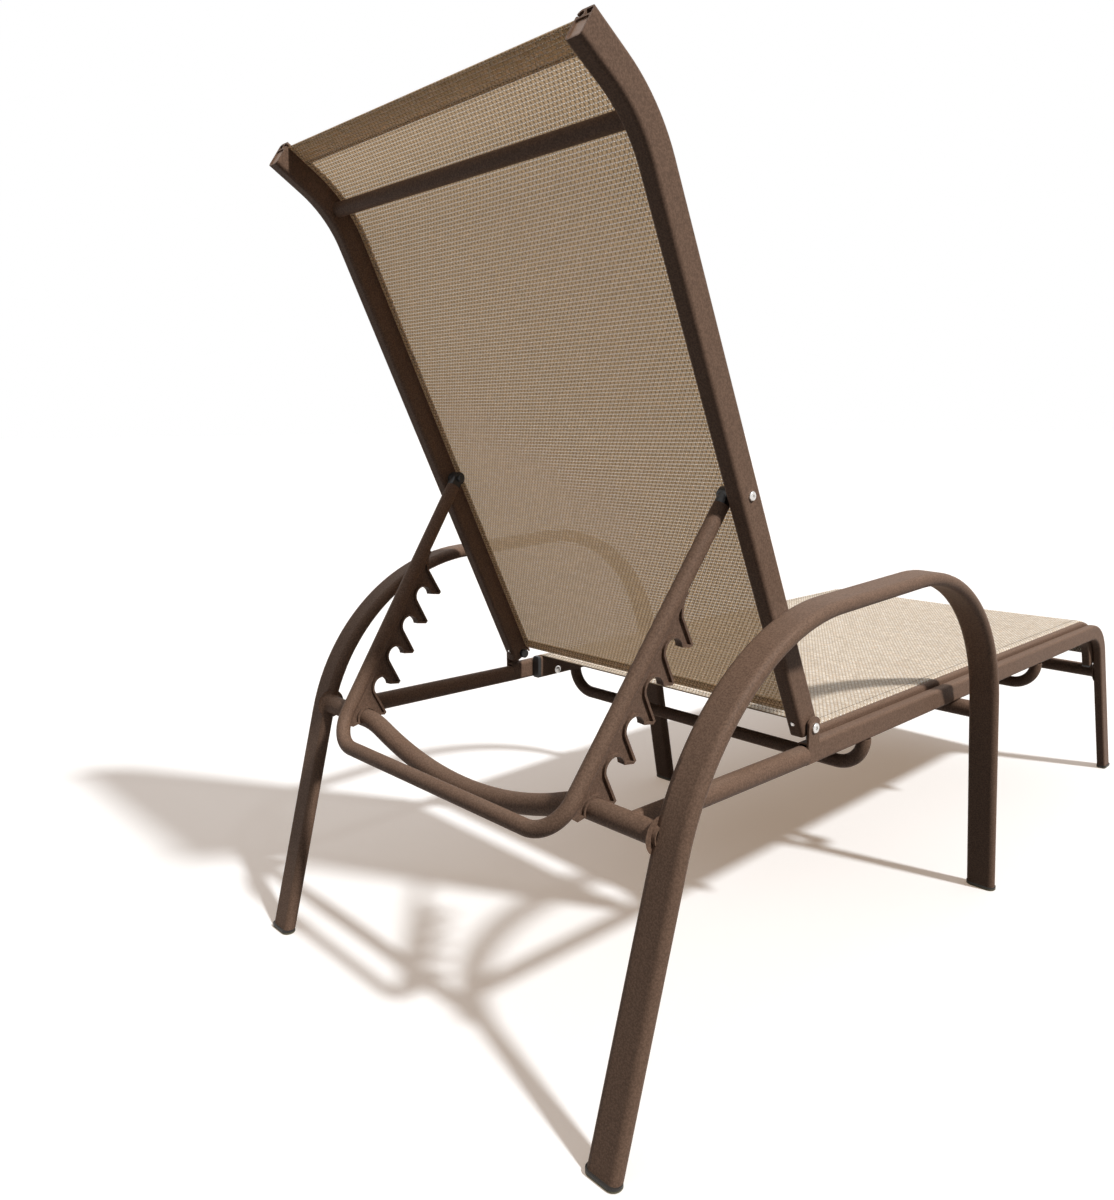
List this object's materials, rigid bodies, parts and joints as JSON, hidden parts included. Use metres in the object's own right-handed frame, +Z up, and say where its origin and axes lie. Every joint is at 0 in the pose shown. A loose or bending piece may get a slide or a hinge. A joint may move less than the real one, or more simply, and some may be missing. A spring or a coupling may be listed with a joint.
{
  "type": "chaise lounge",
  "caption": "Patio chaise lounge with woven sling seat and back, arched arms, and a back that reclines on a swinging support with notched racks.",
  "frame": {"origin": "centre of the footprint, on the floor", "axes": "+Z up, +Y towards the head end, +X to the sitter's left"},
  "size_m": [0.7176, 1.6021, 1.0802],
  "materials": {
    "frame_paint": "dark brown fine-textured powder coat",
    "rack_casting": "die casting in the same brown coat",
    "black_plastic": "moulded, slightly grained",
    "cap_plastic": "brown moulded plastic",
    "glide_plastic": "dark moulded plastic",
    "spline_plastic": "extruded rod",
    "screw_steel": "plain bright steel",
    "sling_fabric": "woven vinyl-coated mesh in cream, tan and brown"
  },
  "bodies": {
    "base": {"arm_frame_left": "frame_paint", "arm_frame_right": "frame_paint", "side_rail_left": "frame_paint", "side_rail_right": "frame_paint", "hinge_plate_left": "frame_paint", "hinge_plate_right": "frame_paint", "seat_sling_rail_left": "frame_paint", "seat_sling_rail_right": "frame_paint", "rear_rail_left": "frame_paint", "rear_rail_right": "frame_paint", "rear_crossbar": "frame_paint", "middle_crossbar": "frame_paint", "foot_crossbar": "frame_paint", "seat_brace_rear": "frame_paint", "seat_brace_front": "frame_paint", "rear_leg_glides": "glide_plastic", "middle_leg_glides": "glide_plastic", "foot_leg_glides": "glide_plastic", "sling_rail_end_caps": "black_plastic", "seat_sling": "sling_fabric", "seat_sling_splines": "spline_plastic", "rail_screws": "screw_steel", "rail_washers": "screw_steel", "hinge_bolts": "screw_steel", "hinge_nuts": "black_plastic", "hinge_spacers": "black_plastic"},
    "back": {"back_upright_left": "frame_paint", "back_upright_right": "frame_paint", "head_crossbar": "frame_paint", "back_sling": "sling_fabric", "back_sling_splines": "spline_plastic", "upright_top_caps": "cap_plastic", "upright_tail_plugs": "black_plastic", "upright_tail_screws": "screw_steel", "support_pivot_bolts": "screw_steel", "support_pivot_nuts": "screw_steel", "support_pivot_spacers": "black_plastic"},
    "support": {"support_bail": "frame_paint", "bail_end_plugs": "black_plastic", "rack_left": "rack_casting", "rack_right": "rack_casting"}
  },
  "joints": [
    {"name": "recline", "type": "hinge", "parent": "base", "child": "back", "pos_m": [0, 0.3795, 0.3542], "axis": [-1, 0, 0], "range_deg": [0, 64.6]},
    {"name": "support_swing", "type": "hinge", "parent": "back", "child": "support", "pos_m": [0, 0.51643, 0.64784], "axis": [-1, 0, 0], "range_deg": [-116.5, 0]}
  ],
  "couplings": [
    {"joint": "support_swing", "follows": "recline", "ratio": -1.77}
  ]
}
